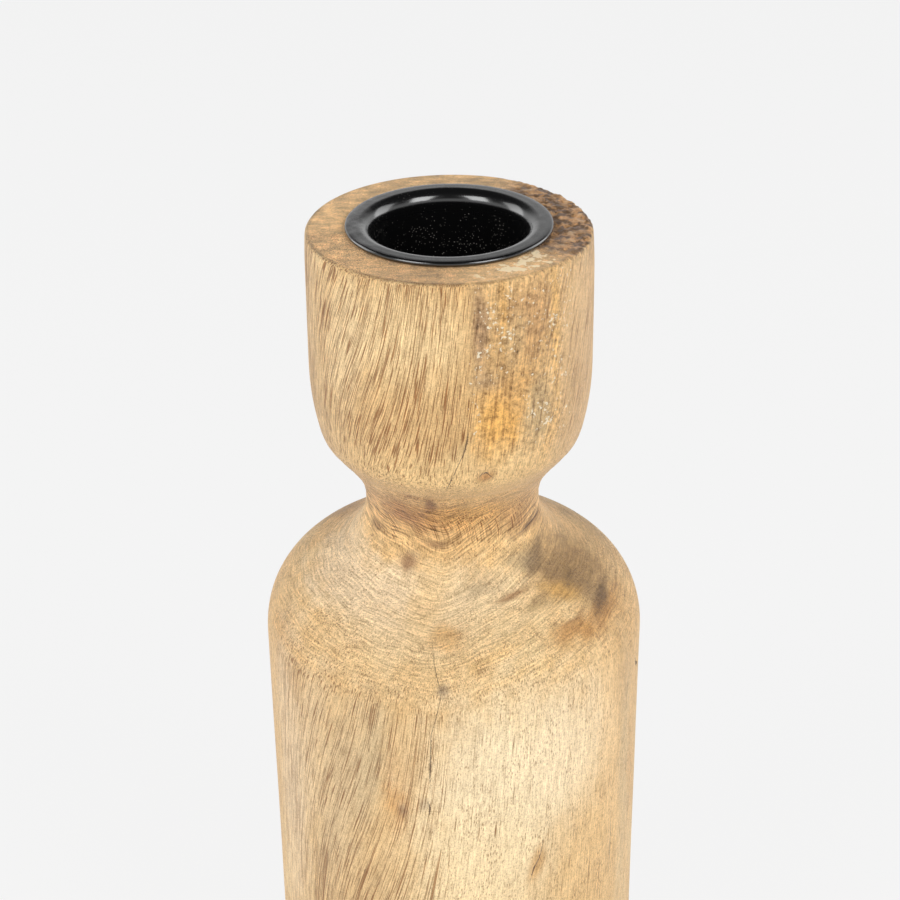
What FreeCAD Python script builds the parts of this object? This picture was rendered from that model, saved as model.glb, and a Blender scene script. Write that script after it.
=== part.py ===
import FreeCAD, Part
import math
import os

import Sketcher

# A turned wooden candlestick with a lift-out metal candle cup.
# Millimetres and degrees. The origin is the centre of the underside, +Z is up, and every piece is
# round about the Z axis:
#   turned_body   one billet of wood: straight head, bowl, neck, shoulder and slightly tapered side
#   candle_cup    a drawn steel cup whose flange rests on the wooden top face
#   felt_pad      the felt disc under the body, on which the candlestick stands

# name of the cell, its value, what it sets
DIMENSIONS = [
    ("woodTop", 149.2, "height of the wooden top face"),
    ("headRadius", 21.1, "radius of the straight head"),
    ("headSideLow", 128.1, "height where the straight side ends and the bowl begins"),
    ("bowlUpperRadius", 41.0, "gentle arc at the top of the bowl"),
    ("bowlLowerRadius", 4.6, "tighter arc that ends the bowl"),
    ("flankAngle", 38.9, "slope of the bowl's underside from the vertical"),
    ("neckRadius", 13.2, "radius of the neck at its narrowest"),
    ("neckHeight", 105.4, "height of that narrowest ring"),
    ("coveRadius", 9.9, "hollow of the neck"),
    ("shoulderArcRadius", 13.5, "arc that turns the shoulder into the side"),
    ("shoulderRadius", 29.35, "radius of the widest ring"),
    ("shoulderHeight", 82.9, "height of the widest ring"),
    ("footRadius", 28.8, "radius of the side at the foot"),
    ("footEdgeRadius", 1.5, "rounding of the foot's edge"),
    ("rimEdgeRadius", 0.5, "rounding of the head's top edge"),
    ("seatClearance", 0.25, "gap all round between the cup and its seat"),
    ("seatDepth", 24.0, "depth of the drilled seat"),
    ("seatBevel", 1.3, "bevel at the seat's mouth, which clears the cup's throat"),
    ("drillPointRadius", 1.5, "dimple that the drill's point leaves in the seat's floor"),
    ("drillPointDepth", 1.0, "depth of that dimple"),
    ("socketRadius", 11.4, "inner radius of the cup, for a 22 mm candle"),
    ("socketDepth", 22.0, "depth of the cup's inner floor below the wooden top face"),
    ("sheetThickness", 0.8, "steel of the cup"),
    ("throatRadius", 1.2, "bend from tube to flange, on the wood's side"),
    ("cupFloorBend", 1.2, "bend from tube to floor, on the inside"),
    ("flangeRadius", 15.15, "outer radius of the cup's flange"),
    ("flangeEdgeRadius", 0.35, "rounding of the flange's upper edge"),
    ("feltThickness", 1.0, "thickness of the felt"),
    ("feltRadius", 26.0, "radius of the felt disc"),
]

VERTICAL_AXIS = -2
ORIGIN_VERTEX = (-1, 1)
CENTRE = 3


def makeSheet(doc):
    sheet = doc.addObject("Spreadsheet::Sheet", "Dimensions")
    for row, (alias, value, note) in enumerate(DIMENSIONS, start=1):
        sheet.set(f"A{row}", note)
        sheet.set(f"B{row}", str(value))
        sheet.setAlias(f"B{row}", alias)
    doc.recompute()
    return sheet


def makeBody(doc, name):
    body = doc.addObject("PartDesign::Body", name)
    body.Label = name
    body.Placement = FreeCAD.Placement()
    return body


def makeSketch(body, name, plane):
    sketch = body.newObject("Sketcher::SketchObject", name)
    base = next(item for item in body.Origin.OriginFeatures if item.Role == plane)
    sketch.AttachmentSupport = [(base, "")]
    sketch.MapMode = "FlatFace"
    return sketch


def polar(point, length, angle):
    """The point at this length and angle, anticlockwise from the radius direction."""
    turn = math.radians(angle)
    return point[0] + length * math.cos(turn), point[1] + length * math.sin(turn)


def bearing(start, end):
    return math.degrees(math.atan2(end[1] - start[1], end[0] - start[0]))


class Outline:
    """A closed half section in (radius, height), drawn curve after curve.

    Each curve is joined to the end of the one before it, smoothly if it is drawn as smooth. The
    drawn places are where the sketch starts from, and its constraints follow the sheet's cells."""

    def __init__(self, sketch):
        self.sketch = sketch
        self.curves = []

    def line(self, start, end, smooth=False):
        shape = Part.LineSegment(FreeCAD.Vector(*start, 0), FreeCAD.Vector(*end, 0))
        return self.add(shape, start, smooth)

    def arc(self, centre, radius, fromAngle, toAngle, smooth=True):
        angles = (fromAngle, (fromAngle + toAngle) / 2, toAngle)
        points = [polar(centre, radius, angle) for angle in angles]
        shape = Part.Arc(*[FreeCAD.Vector(*point, 0) for point in points])
        return self.add(shape, points[0], smooth)

    def add(self, shape, start, smooth):
        index = self.sketch.addGeometry(shape, False)
        gap = self.sketch.getPoint(index, 1).distanceToPoint(FreeCAD.Vector(*start, 0))
        # an arc is kept anticlockwise, so one drawn clockwise has its ends the other way round
        first, last = (1, 2) if gap < 1e-6 else (2, 1)
        if self.curves:
            before, _, end = self.curves[-1]
            self.tie("Tangent" if smooth else "Coincident", before, end, index, first)
        self.curves.append((index, first, last))
        return len(self.curves) - 1

    def close(self):
        last, _, end = self.curves[-1]
        first, start, _ = self.curves[0]
        self.tie("Coincident", last, end, first, start)

    def start(self, curve):
        return self.curves[curve][0], self.curves[curve][1]

    def end(self, curve):
        return self.curves[curve][0], self.curves[curve][2]

    def centre(self, curve):
        return self.curves[curve][0], CENTRE

    def tie(self, kind, *where):
        self.sketch.addConstraint(Sketcher.Constraint(kind, *where))

    def level(self, *curves):
        for curve in curves:
            self.tie("Horizontal", self.curves[curve][0])

    def upright(self, *curves):
        for curve in curves:
            self.tie("Vertical", self.curves[curve][0])

    def onAxis(self, vertex):
        self.tie("PointOnObject", *vertex, VERTICAL_AXIS)

    def size(self, name, kind, where, now, formula):
        number = self.sketch.addConstraint(Sketcher.Constraint(kind, *where, now))
        self.sketch.renameConstraint(number, name)
        self.sketch.setExpression(f"Constraints.{name}", formula)

    def across(self, name, vertex, formula):
        now = self.sketch.getPoint(*vertex).x
        self.size(name, "DistanceX", (*ORIGIN_VERTEX, *vertex), now, formula)

    def height(self, name, vertex, formula):
        now = self.sketch.getPoint(*vertex).y
        self.size(name, "DistanceY", (*ORIGIN_VERTEX, *vertex), now, formula)

    def radius(self, name, curve, formula):
        index = self.curves[curve][0]
        self.size(name, "Radius", (index,), self.sketch.Geometry[index].Radius, formula)

    def slope(self, name, curve, formula):
        """The direction of a line, anticlockwise from the radius direction."""
        index = self.curves[curve][0]
        start, end = self.sketch.getPoint(index, 1), self.sketch.getPoint(index, 2)
        now = math.atan2(end.y - start.y, end.x - start.x)
        self.size(name, "Angle", (index,), now, formula)


def drawTurning(sketch, sheet):
    """The wood's half section, from its underside up to its top face."""
    # side and shoulder: the shoulder's arc leaves the side at the widest ring
    foot = (sheet.footRadius, sheet.feltThickness)
    widest = (sheet.shoulderRadius, sheet.shoulderHeight)
    lean = bearing(foot, widest)
    shoulderCentre = polar(widest, sheet.shoulderArcRadius, lean + 90)
    coveCentre = (sheet.neckRadius + sheet.coveRadius, sheet.neckHeight)

    # slope: the straight run that touches both the shoulder's arc and the cove's, which lie on
    # opposite sides of it, so its cosine from the line of centres is the radii over their distance
    reach = math.dist(shoulderCentre, coveCentre)
    tilt = math.degrees(math.acos((sheet.shoulderArcRadius + sheet.coveRadius) / reach))
    facing = bearing(shoulderCentre, coveCentre) - tilt
    slopeStart = polar(shoulderCentre, sheet.shoulderArcRadius, facing)
    slopeEnd = polar(coveCentre, sheet.coveRadius, facing + 180)

    # flank and bowl: the lower bowl arc touches the flank, and touches the upper one from inside,
    # so its centre is where a line beside the flank meets a circle about the upper one's centre
    flankWay = 90 - sheet.flankAngle
    flankStart = polar(coveCentre, sheet.coveRadius, flankWay + 90)
    bowlUpper = (sheet.headRadius - sheet.bowlUpperRadius, sheet.headSideLow)
    beside = polar(flankStart, sheet.bowlLowerRadius, flankWay + 90)
    toUpper = math.radians(bearing(beside, bowlUpper) - flankWay)
    apart = math.dist(beside, bowlUpper)
    inner = sheet.bowlUpperRadius - sheet.bowlLowerRadius
    run = apart * math.cos(toUpper) + math.sqrt(inner**2 - (apart * math.sin(toUpper)) ** 2)
    flankEnd = polar(flankStart, run, flankWay)
    bowlLower = polar(beside, run, flankWay)
    bowlMeet = bearing(bowlUpper, bowlLower)

    base, top, headEdge = sheet.feltThickness, sheet.woodTop, sheet.headRadius
    outline = Outline(sketch)
    under = outline.line((0, base), foot)
    side = outline.line(foot, widest)
    shoulder = outline.arc(shoulderCentre, sheet.shoulderArcRadius, lean - 90, facing)
    outline.line(slopeStart, slopeEnd, smooth=True)
    cove = outline.arc(coveCentre, sheet.coveRadius, facing + 180, flankWay + 90)
    flank = outline.line(flankStart, flankEnd, smooth=True)
    bowlEnd = outline.arc(bowlLower, sheet.bowlLowerRadius, flankWay - 90, bowlMeet)
    bowl = outline.arc(bowlUpper, sheet.bowlUpperRadius, bowlMeet, 0)
    head = outline.line((headEdge, sheet.headSideLow), (headEdge, top), smooth=True)
    face = outline.line((headEdge, top), (0, top))
    middle = outline.line((0, top), (0, base))
    outline.close()

    outline.level(under, face)
    outline.upright(head, middle)
    outline.onAxis(outline.start(middle))
    outline.height("underside", outline.start(under), "Dimensions.feltThickness")
    outline.across("footSize", outline.end(under), "Dimensions.footRadius")
    outline.across("widestSize", outline.end(side), "Dimensions.shoulderRadius")
    outline.height("widestRing", outline.end(side), "Dimensions.shoulderHeight")
    outline.radius("shoulderArc", shoulder, "Dimensions.shoulderArcRadius")
    outline.radius("coveArc", cove, "Dimensions.coveRadius")
    outline.across("neckSize", outline.centre(cove), "Dimensions.neckRadius + Dimensions.coveRadius")
    outline.height("neckRing", outline.centre(cove), "Dimensions.neckHeight")
    outline.slope("flankWay", flank, "(90 - Dimensions.flankAngle) * 1 deg")
    outline.radius("bowlLowerArc", bowlEnd, "Dimensions.bowlLowerRadius")
    outline.radius("bowlUpperArc", bowl, "Dimensions.bowlUpperRadius")
    outline.across("headSize", outline.start(head), "Dimensions.headRadius")
    outline.height("headSide", outline.start(head), "Dimensions.headSideLow")
    outline.height("topFace", outline.end(head), "Dimensions.woodTop")


def drawSeat(sketch, sheet):
    """The drilled seat's half section: bevelled mouth, straight wall, flat floor with a dimple."""
    radius = sheet.socketRadius + sheet.sheetThickness + sheet.seatClearance
    top = sheet.woodTop
    bevelLow = top - sheet.seatBevel
    floor = top - sheet.seatDepth
    tip = floor - sheet.drillPointDepth
    dimpleEdge = (sheet.drillPointRadius, floor)

    outline = Outline(sketch)
    dimple = outline.line((0, tip), dimpleEdge)
    ground = outline.line(dimpleEdge, (radius, floor))
    wall = outline.line((radius, floor), (radius, bevelLow))
    bevel = outline.line((radius, bevelLow), (radius + sheet.seatBevel, top))
    mouth = outline.line((radius + sheet.seatBevel, top), (0, top))
    middle = outline.line((0, top), (0, tip))
    outline.close()

    seatRadius = "Dimensions.socketRadius + Dimensions.sheetThickness + Dimensions.seatClearance"
    outline.level(ground, mouth)
    outline.upright(wall, middle)
    outline.onAxis(outline.start(middle))
    outline.height("mouth", outline.start(middle), "Dimensions.woodTop")
    outline.across("seatSize", outline.start(wall), seatRadius)
    outline.height("ground", outline.start(wall), "Dimensions.woodTop - Dimensions.seatDepth")
    outline.height("bevelLow", outline.end(wall), "Dimensions.woodTop - Dimensions.seatBevel")
    outline.across("mouthSize", outline.end(bevel), f"{seatRadius} + Dimensions.seatBevel")
    outline.across("dimpleSize", outline.end(dimple), "Dimensions.drillPointRadius")
    outline.height(
        "dimpleTip",
        outline.start(dimple),
        "Dimensions.woodTop - Dimensions.seatDepth - Dimensions.drillPointDepth",
    )


def drawCup(sketch, sheet):
    """The cup's half section: floor, tube and flange in one sheet of even thickness."""
    inner, sheetSteel = sheet.socketRadius, sheet.sheetThickness
    outer = inner + sheetSteel
    top = sheet.woodTop
    floor = top - sheet.socketDepth
    floorBend, throat, edge = sheet.cupFloorBend, sheet.throatRadius, sheet.flangeRadius
    floorCentre = (inner - floorBend, floor + floorBend)
    throatCentre = (outer + throat, top - throat)

    outline = Outline(sketch)
    under = outline.line((0, floor - sheetSteel), (floorCentre[0], floor - sheetSteel))
    outerBend = outline.arc(floorCentre, floorBend + sheetSteel, -90, 0)
    tube = outline.line((outer, floorCentre[1]), (outer, throatCentre[1]), smooth=True)
    throatOuter = outline.arc(throatCentre, throat, 180, 90)
    seat = outline.line((throatCentre[0], top), (edge, top), smooth=True)
    rim = outline.line((edge, top), (edge, top + sheetSteel))
    face = outline.line((edge, top + sheetSteel), (throatCentre[0], top + sheetSteel))
    throatInner = outline.arc(throatCentre, throat + sheetSteel, 90, 180)
    wall = outline.line((inner, throatCentre[1]), (inner, floorCentre[1]), smooth=True)
    innerBend = outline.arc(floorCentre, floorBend, 0, -90)
    ground = outline.line((floorCentre[0], floor), (0, floor), smooth=True)
    middle = outline.line((0, floor), (0, floor - sheetSteel))
    outline.close()

    outline.level(under, seat, face, ground)
    outline.upright(tube, rim, wall, middle)
    outline.onAxis(outline.start(middle))
    outline.height("floorTop", outline.start(middle), "Dimensions.woodTop - Dimensions.socketDepth")
    outline.height(
        "floorUnder",
        outline.end(middle),
        "Dimensions.woodTop - Dimensions.socketDepth - Dimensions.sheetThickness",
    )
    outline.across("innerSize", outline.end(wall), "Dimensions.socketRadius")
    outline.radius("innerBend", innerBend, "Dimensions.cupFloorBend")
    outline.radius("outerBend", outerBend, "Dimensions.cupFloorBend + Dimensions.sheetThickness")
    outline.across(
        "outerSize",
        outline.end(tube),
        "Dimensions.socketRadius + Dimensions.sheetThickness",
    )
    outline.radius("throatOuter", throatOuter, "Dimensions.throatRadius")
    outline.radius("throatInner", throatInner, "Dimensions.throatRadius + Dimensions.sheetThickness")
    outline.height("seatFace", outline.end(seat), "Dimensions.woodTop")
    outline.height("flangeFace", outline.end(rim), "Dimensions.woodTop + Dimensions.sheetThickness")
    outline.across("flangeSize", outline.end(rim), "Dimensions.flangeRadius")


def turn(body, kind, name, sketch):
    """A Revolution or a Groove right round the sketch's vertical axis."""
    feature = body.newObject(kind, name)
    feature.Profile = (sketch, [""])
    feature.ReferenceAxis = (sketch, ["V_Axis"])
    feature.Angle = 360
    body.Document.recompute()
    return feature


def ringEdge(feature, radius, height):
    """The name of the feature's circular edge with this radius and height."""
    for number, edge in enumerate(feature.Shape.Edges, start=1):
        curve = edge.Curve
        if not isinstance(curve, Part.Circle):
            continue
        if abs(curve.Radius - radius) < 1e-4 and abs(curve.Center.z - height) < 1e-4:
            return f"Edge{number}"
    raise RuntimeError(f"no ring of radius {radius} at height {height} on {feature.Label}")


def roundEdge(body, base, name, radius, height, formula):
    fillet = body.newObject("PartDesign::Fillet", name)
    fillet.Base = (base, [ringEdge(base, radius, height)])
    fillet.setExpression("Radius", formula)
    body.Document.recompute()
    return fillet


def makeTurnedBody(doc, sheet):
    body = makeBody(doc, "turned_body")
    outline = makeSketch(body, "TurningOutline", "XZ_Plane")
    drawTurning(outline, sheet)
    turning = turn(body, "PartDesign::Revolution", "Turning", outline)
    whole = turning.Shape.Volume

    seatOutline = makeSketch(body, "SeatOutline", "XZ_Plane")
    drawSeat(seatOutline, sheet)
    seat = turn(body, "PartDesign::Groove", "Seat", seatOutline)
    seatRadius = sheet.socketRadius + sheet.sheetThickness + sheet.seatClearance
    drilled = math.pi * seatRadius**2 * sheet.seatDepth
    if whole - seat.Shape.Volume < drilled:
        raise RuntimeError("the seat was not cut")

    foot = roundEdge(
        body, seat, "FootEdge", sheet.footRadius, sheet.feltThickness, "Dimensions.footEdgeRadius"
    )
    roundEdge(body, foot, "RimEdge", sheet.headRadius, sheet.woodTop, "Dimensions.rimEdgeRadius")
    return body


def makeCandleCup(doc, sheet):
    body = makeBody(doc, "candle_cup")
    outline = makeSketch(body, "CupOutline", "XZ_Plane")
    drawCup(outline, sheet)
    shell = turn(body, "PartDesign::Revolution", "Shell", outline)
    flangeTop = sheet.woodTop + sheet.sheetThickness
    roundEdge(
        body, shell, "FlangeEdge", sheet.flangeRadius, flangeTop, "Dimensions.flangeEdgeRadius"
    )
    return body


def makeFeltPad(doc, sheet):
    body = makeBody(doc, "felt_pad")
    outline = makeSketch(body, "DiscOutline", "XY_Plane")
    disc = Part.Circle(FreeCAD.Vector(0, 0, 0), FreeCAD.Vector(0, 0, 1), sheet.feltRadius)
    outline.addGeometry(disc, False)
    outline.addConstraint(Sketcher.Constraint("Coincident", 0, CENTRE, *ORIGIN_VERTEX))
    number = outline.addConstraint(Sketcher.Constraint("Radius", 0, sheet.feltRadius))
    outline.renameConstraint(number, "discSize")
    outline.setExpression("Constraints.discSize", "Dimensions.feltRadius")
    pad = body.newObject("PartDesign::Pad", "Disc")
    pad.Profile = (outline, [""])
    pad.setExpression("Length", "Dimensions.feltThickness")
    return body


def checkDocument(doc, bodies):
    for item in doc.Objects:
        if "Invalid" in item.State or "Error" in item.State:
            raise RuntimeError(f"{item.Label} did not compute: {item.State}")
        if item.TypeId == "Sketcher::SketchObject" and item.solve() != 0:
            raise RuntimeError(f"{item.Label} has conflicting constraints")
        if item.TypeId == "Sketcher::SketchObject" and not item.FullyConstrained:
            raise RuntimeError(f"{item.Label} is not fully constrained")
    for body in bodies:
        if body.Shape.isNull() or not body.Shape.isValid() or len(body.Shape.Solids) != 1:
            raise RuntimeError(f"{body.Label} is not one valid solid")


def main():
    doc = FreeCAD.newDocument("candlestick")
    sheet = makeSheet(doc)
    bodies = [makeTurnedBody(doc, sheet), makeCandleCup(doc, sheet), makeFeltPad(doc, sheet)]
    doc.recompute()
    checkDocument(doc, bodies)
    os.makedirs("parts", exist_ok=True)
    for body in bodies:
        body.Shape.exportStep(f"parts/{body.Label}.step")
        box = body.Shape.BoundBox
        print(f"{body.Label}: {body.Shape.Volume:.1f} mm3, z {box.ZMin:.2f} to {box.ZMax:.2f}")


main()
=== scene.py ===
import math
import bpy
import numpy as np
from mathutils import Matrix, Vector


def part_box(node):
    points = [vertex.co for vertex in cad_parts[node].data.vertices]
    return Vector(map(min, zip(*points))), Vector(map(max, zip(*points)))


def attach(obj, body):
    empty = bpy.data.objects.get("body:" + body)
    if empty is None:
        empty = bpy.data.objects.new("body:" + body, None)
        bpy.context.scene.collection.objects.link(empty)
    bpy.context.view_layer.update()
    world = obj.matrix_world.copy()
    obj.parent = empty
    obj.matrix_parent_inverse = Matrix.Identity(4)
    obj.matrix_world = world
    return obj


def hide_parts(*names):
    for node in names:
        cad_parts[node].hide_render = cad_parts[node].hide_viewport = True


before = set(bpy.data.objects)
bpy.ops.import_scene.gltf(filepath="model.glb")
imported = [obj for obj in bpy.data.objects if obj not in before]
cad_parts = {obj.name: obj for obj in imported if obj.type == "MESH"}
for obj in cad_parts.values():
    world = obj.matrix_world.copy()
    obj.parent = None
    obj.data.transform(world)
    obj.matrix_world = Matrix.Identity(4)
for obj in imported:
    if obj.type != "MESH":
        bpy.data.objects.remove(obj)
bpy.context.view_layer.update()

# Sizes below are millimetres and angles are degrees. The front of the candlestick faces -Y.
# A place on the wood is (angle, down): the angle is 0 at the front and grows towards +X, and down
# is the distance along the surface below the head's rim.
mm = 0.001


# 0 below low, 1 above high, with a smooth step between. High may be the lower of the two.
def smooth(value, low, high):
    t = np.clip((value - low) / (high - low), 0, 1)
    return t * t * (3 - 2 * t)


# The angle from centre to angle, brought between -180 and 180.
def turnGap(angle, centre):
    return (angle - centre + 180) % 360 - 180


# Smooth noise between -1 and 1: a fixed random number at each corner of a grid of cubes with sides
# of cell, blended between the corners by a smooth step.
def noise(points, cell, seed):
    place = np.asarray(points) / cell
    corner = np.floor(place).astype(np.int64)
    part = place - corner
    part = part * part * (3 - 2 * part)
    total = np.zeros(part.shape[:-1])
    for offset in np.ndindex(2, 2, 2):
        key = (corner + offset) @ np.array([73856093, 19349663, 83492791]) + seed * 2654435761
        key = (key ^ (key >> 13)) * 1274126177 % 4294967296
        key = (key ^ (key >> 16)) * 668265263 % 4294967296
        weight = np.prod(np.where(offset, part, 1 - part), axis=-1)
        total += weight * (key / 2147483648 - 1)
    return total


# Noise plus half as much at half the size, and so on.
def layeredNoise(points, cell, seed, octaves=3):
    total = sum(noise(points, cell / 2**n, seed + n) / 2**n for n in range(octaves))
    return total / (2 - 2 / 2**octaves)


# A colour written as RRGGBB, as linear red, green and blue.
def linear(code):
    srgb = np.array([int(code[n:n + 2], 16) / 255 for n in (0, 2, 4)])
    return np.where(srgb < 0.04045, srgb / 12.92, ((srgb + 0.055) / 1.055) ** 2.4)


# Points about 0.2 apart along straight runs between these corners.
def lineThrough(corners):
    corners = np.array(corners, float)
    runs = np.hypot(*np.diff(corners, axis=0).T)
    along = np.concatenate([[0], np.cumsum(runs)])
    wanted = np.linspace(0, along[-1], max(2, int(along[-1] / 0.2)))
    return np.stack([np.interp(wanted, along, corners[:, n]) for n in (0, 1)], axis=-1)


# Points of an arc in (radius, height), from one angle to another, anticlockwise from +radius.
def arcAbout(centre, radius, start, end, count=24):
    turn = np.radians(np.linspace(start, end, count))
    return np.stack([centre[0] + radius * np.cos(turn), centre[1] + radius * np.sin(turn)], axis=-1)


# The outline resampled so that the distance between rings follows steps, a list of (distance along
# the outline, step), by adding up 1 / step and cutting the sum into equal parts.
def spaced(outline, steps):
    runs = np.hypot(*np.diff(outline, axis=0).T)
    keep = np.concatenate([[True], runs > 1e-6])
    outline = outline[keep]
    along = np.concatenate([[0], np.cumsum(runs[runs > 1e-6])])
    fine = np.linspace(0, along[-1], 20000)
    step = np.interp(fine, *np.array(steps, float).T)
    count = np.concatenate([[0], np.cumsum(np.diff(fine) / step[1:])])
    wanted = np.interp(np.linspace(0, count[-1], int(count[-1]) + 1), count, fine)
    rings = np.stack([np.interp(wanted, along, outline[:, n]) for n in (0, 1)], axis=-1)
    return rings, wanted


# Unit normals of the outline, on the right of its direction, so outwards when it is drawn from the
# foot up the outside.
def outlineNormals(rings):
    along = np.gradient(rings, axis=0)
    normal = np.stack([along[:, 1], -along[:, 0]], axis=-1)
    return normal / np.maximum(np.linalg.norm(normal, axis=-1, keepdims=True), 1e-9)


# Rings of an outline carried round the Z axis: every ring meets every angle. Returns the radius,
# angle (degrees) and height of each point of the grid.
def revolve(rings, segments):
    angle = np.arange(segments) * 360 / segments
    angle = np.broadcast_to(turnGap(angle, 0), (len(rings), segments))
    radius = np.broadcast_to(rings[:, :1], angle.shape)
    height = np.broadcast_to(rings[:, 1:], angle.shape)
    return radius, angle, height


# Angle 0 is -Y and grows towards +X: x = r sin(angle), y = -r cos(angle).
def toPoints(radius, angle, height):
    turn = np.radians(angle)
    return np.stack([radius * np.sin(turn), -radius * np.cos(turn), height], axis=-1)


# A closed mesh from a grid of points, rings by segments: the rings are joined all round, and the
# first and last rings shrink to a single vertex each on the axis.
def gridObject(name, points):
    ringCount, segments = points.shape[:2]
    body = points[1:-1].reshape(-1, 3)
    first = points[0].mean(axis=0, keepdims=True)
    last = points[-1].mean(axis=0, keepdims=True)
    vertices = np.concatenate([body, first, last]) * mm
    ring = np.arange(ringCount - 3)[:, None] * segments
    here = np.arange(segments)[None, :]
    there = (here + 1) % segments
    quads = np.stack([ring + here, ring + there, ring + there + segments, ring + here + segments], -1)
    quads = quads.reshape(-1, 4)
    side = np.arange(segments)
    nextSide = (side + 1) % segments
    startFan = np.stack([np.full(segments, len(body)), nextSide, side], -1)
    top = (ringCount - 3) * segments
    endFan = np.stack([np.full(segments, len(body) + 1), top + side, top + nextSide], -1)
    mesh = bpy.data.meshes.new(name)
    mesh.from_pydata(vertices.tolist(), [], quads.tolist() + startFan.tolist() + endFan.tolist())
    mesh.polygons.foreach_set("use_smooth", np.ones(len(mesh.polygons), bool))
    mesh.update()
    piece = bpy.data.objects.new(name, mesh)
    bpy.context.scene.collection.objects.link(piece)
    return piece


# Values on a grid of rings by segments, in the order of gridObject's vertices.
def perVertex(values):
    body = values[1:-1].reshape(-1, *values.shape[2:])
    ends = [values[n].mean(axis=0, keepdims=True) for n in (0, -1)]
    return np.concatenate([body, *ends])


# A value, vector or colour at each vertex, for a material to read by name.
def storeAttribute(piece, name, kind, values):
    field = {"FLOAT": "value", "FLOAT_VECTOR": "vector", "FLOAT_COLOR": "color"}[kind]
    values = perVertex(values)
    if kind == "FLOAT_COLOR":
        values = np.concatenate([values, np.ones((len(values), 1))], axis=1)
    attribute = piece.data.attributes.new(name, kind, "POINT")
    attribute.data.foreach_set(field, values.astype(np.float32).ravel())


# A socket of a shader that can be used in sums: each operator adds a Math node.
class Value:
    def __init__(self, maker, socket):
        self.maker = maker
        self.socket = socket

    def math(self, operation, *others):
        return self.maker.node("ShaderNodeMath", {"operation": operation}, self, *others)

    def __add__(self, other):
        return self.math("ADD", other)

    __radd__ = __add__

    def __mul__(self, other):
        return self.math("MULTIPLY", other)

    __rmul__ = __mul__

    def __sub__(self, other):
        return self.math("SUBTRACT", other)

    def __rsub__(self, other):
        return self.maker.node("ShaderNodeMath", {"operation": "SUBTRACT"}, other, self)

    def __abs__(self):
        return self.math("ABSOLUTE")

    def smaller(self, other):
        return self.math("MINIMUM", other)

    def larger(self, other):
        return self.math("MAXIMUM", other)

    # A smooth step from start at low to end at high.
    def ramp(self, low, high, start=0.0, end=1.0):
        settings = {"interpolation_type": "SMOOTHSTEP"}
        return self.maker.node("ShaderNodeMapRange", settings, self, low, high, start, end)


# Makes the nodes of one material. Each node is given its settings and then its sockets.
class Shader:
    def __init__(self, name):
        self.material = bpy.data.materials.new(name)
        self.material.use_nodes = True
        self.tree = self.material.node_tree
        self.tree.nodes.clear()

    def node(self, kind, settings=None, *values, out=0, **named):
        made = self.tree.nodes.new(kind)
        for key, value in (settings or {}).items():
            setattr(made, key, value)
        sockets = [(made.inputs[n], value) for n, value in enumerate(values) if value is not None]
        sockets += [(made.inputs[key.replace("_", " ")], value) for key, value in named.items()]
        for socket, value in sockets:
            if isinstance(value, Value):
                self.tree.links.new(value.socket, socket)
            else:
                socket.default_value = value
        return Value(self, made.outputs[out]) if made.outputs else made

    def objectPlace(self):
        return self.node("ShaderNodeTexCoord", out="Object")

    def attribute(self, name, out="Fac"):
        return self.node("ShaderNodeAttribute", {"attribute_name": name}, out=out)

    def stretch(self, place, scale):
        return self.node("ShaderNodeMapping", {"vector_type": "POINT"}, Vector=place, Scale=scale)

    def noise(self, place, scale, detail=2.0, roughness=0.5):
        sockets = {"Vector": place, "Scale": scale, "Detail": detail, "Roughness": roughness}
        return self.node("ShaderNodeTexNoise", None, **sockets)

    def spots(self, place, scale):
        return self.node("ShaderNodeTexVoronoi", {"feature": "F1"}, Vector=place, Scale=scale)

    # Two colours mixed by factor.
    def mix(self, factor, first, second, blend="MIX"):
        made = self.tree.nodes.new("ShaderNodeMix")
        made.data_type = "RGBA"
        made.blend_type = blend
        for index, value in ((0, factor), (6, first), (7, second)):
            if isinstance(value, Value):
                self.tree.links.new(value.socket, made.inputs[index])
            else:
                made.inputs[index].default_value = value
        return Value(self, made.outputs[2])

    def scaleColour(self, colour, factor):
        return self.node("ShaderNodeVectorMath", {"operation": "SCALE"}, Vector=colour, Scale=factor)

    def bump(self, height, strength, distance):
        return self.node("ShaderNodeBump", None, Height=height, Strength=strength, Distance=distance)

    # The Principled shader with these sockets, on the material's output.
    def finish(self, **inputs):
        shader = self.node("ShaderNodeBsdfPrincipled", None, **inputs)
        self.node("ShaderNodeOutputMaterial", None, Surface=shader)
        return self.material


# the turned wood

wood = {
    "segments": 320,        # grid lines round the axis
    "footEdge": 1.5,        # rounding of the foot's edge
    "rimEdge": 0.5,
    "seatBevel": 1.3,
    "seatDepth": 24.0,
    "seatRadius": 12.45,
    "drillPoint": (1.5, 1.0),   # radius and depth of the dimple in the seat's floor
    "wornRim": 0.25,        # how far the head draws in at its rim
    "sway": 0.06,           # low waves left by turning and drying
    "crease": (36.0, 0.14),     # where the bowl meets the neck, and how deep the tool cut there
    "bowlSize": 21.0,       # radius at which the bowl's grain is laid out
    "torn": (102, 46, 14),  # where the top face tore: centre, half width and softness, in degrees
    "tornDepth": 0.8,
    "tornSide": (98, 36, 20),   # and where the side is chipped below it
    "burnt": (-45, 75, 25),     # the dark line round the rim
    "block": (29, 20.5, 2.4),   # the stained block in the right half of the head
    "grainLeft": (-36, 34, 12),     # the strongly marked grain at the left of the side
    "headLeft": (-40, 46, 7),   # and of the head
    "vee": -7,              # angle at which the growth layers meet
    "veeRound": 9,          # how rounded their meeting is, in degrees
    "grooveDepth": 0.3,     # of a crack
    "ringDepth": 0.02,      # of the rings left by the tool
}


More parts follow.
